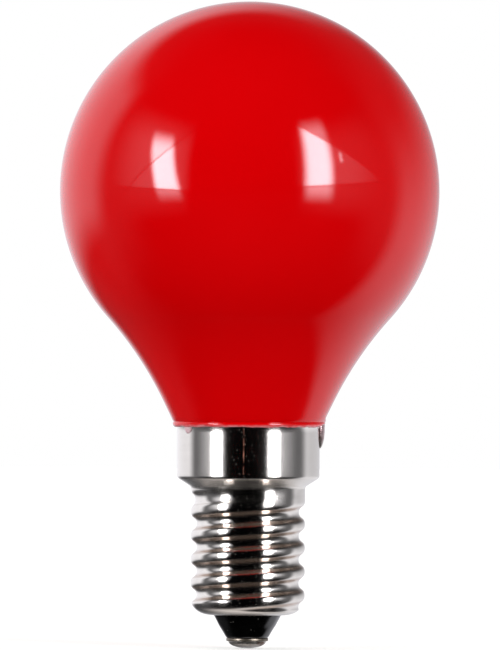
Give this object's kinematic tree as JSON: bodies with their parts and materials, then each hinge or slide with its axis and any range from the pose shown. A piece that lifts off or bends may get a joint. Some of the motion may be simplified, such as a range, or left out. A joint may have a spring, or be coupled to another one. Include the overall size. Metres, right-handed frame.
{
  "type": "round lamp bulb",
  "caption": "Round light bulb with an opaque lacquered glass globe on a narrow neck and a small round-thread screw cap with a centre contact.",
  "frame": {"origin": "lowest point of the centre contact, on the axis of the cap", "axes": "+Z along the lamp's axis from the contact to the crown of the globe, +X towards the side solder on the collar"},
  "size_m": [0.0452, 0.0452, 0.077],
  "materials": {
    "lacquered_glass": "blown glass under an opaque glossy red lacquer",
    "nickel_plate": "bright nickel plate on pressed sheet",
    "cement": "baked capping cement",
    "black_glass": "moulded black glass",
    "contact_metal": "nickel-plated brass",
    "solder": "soft tin solder as it set"
  },
  "bodies": {
    "root": {"glass_bulb": "lacquered_glass", "cap_shell": "nickel_plate", "cap_cement": "cement", "cap_insulator": "black_glass", "contact_plate": "contact_metal", "contact_solder": "solder", "side_solder": "solder"}
  },
  "joints": []
}
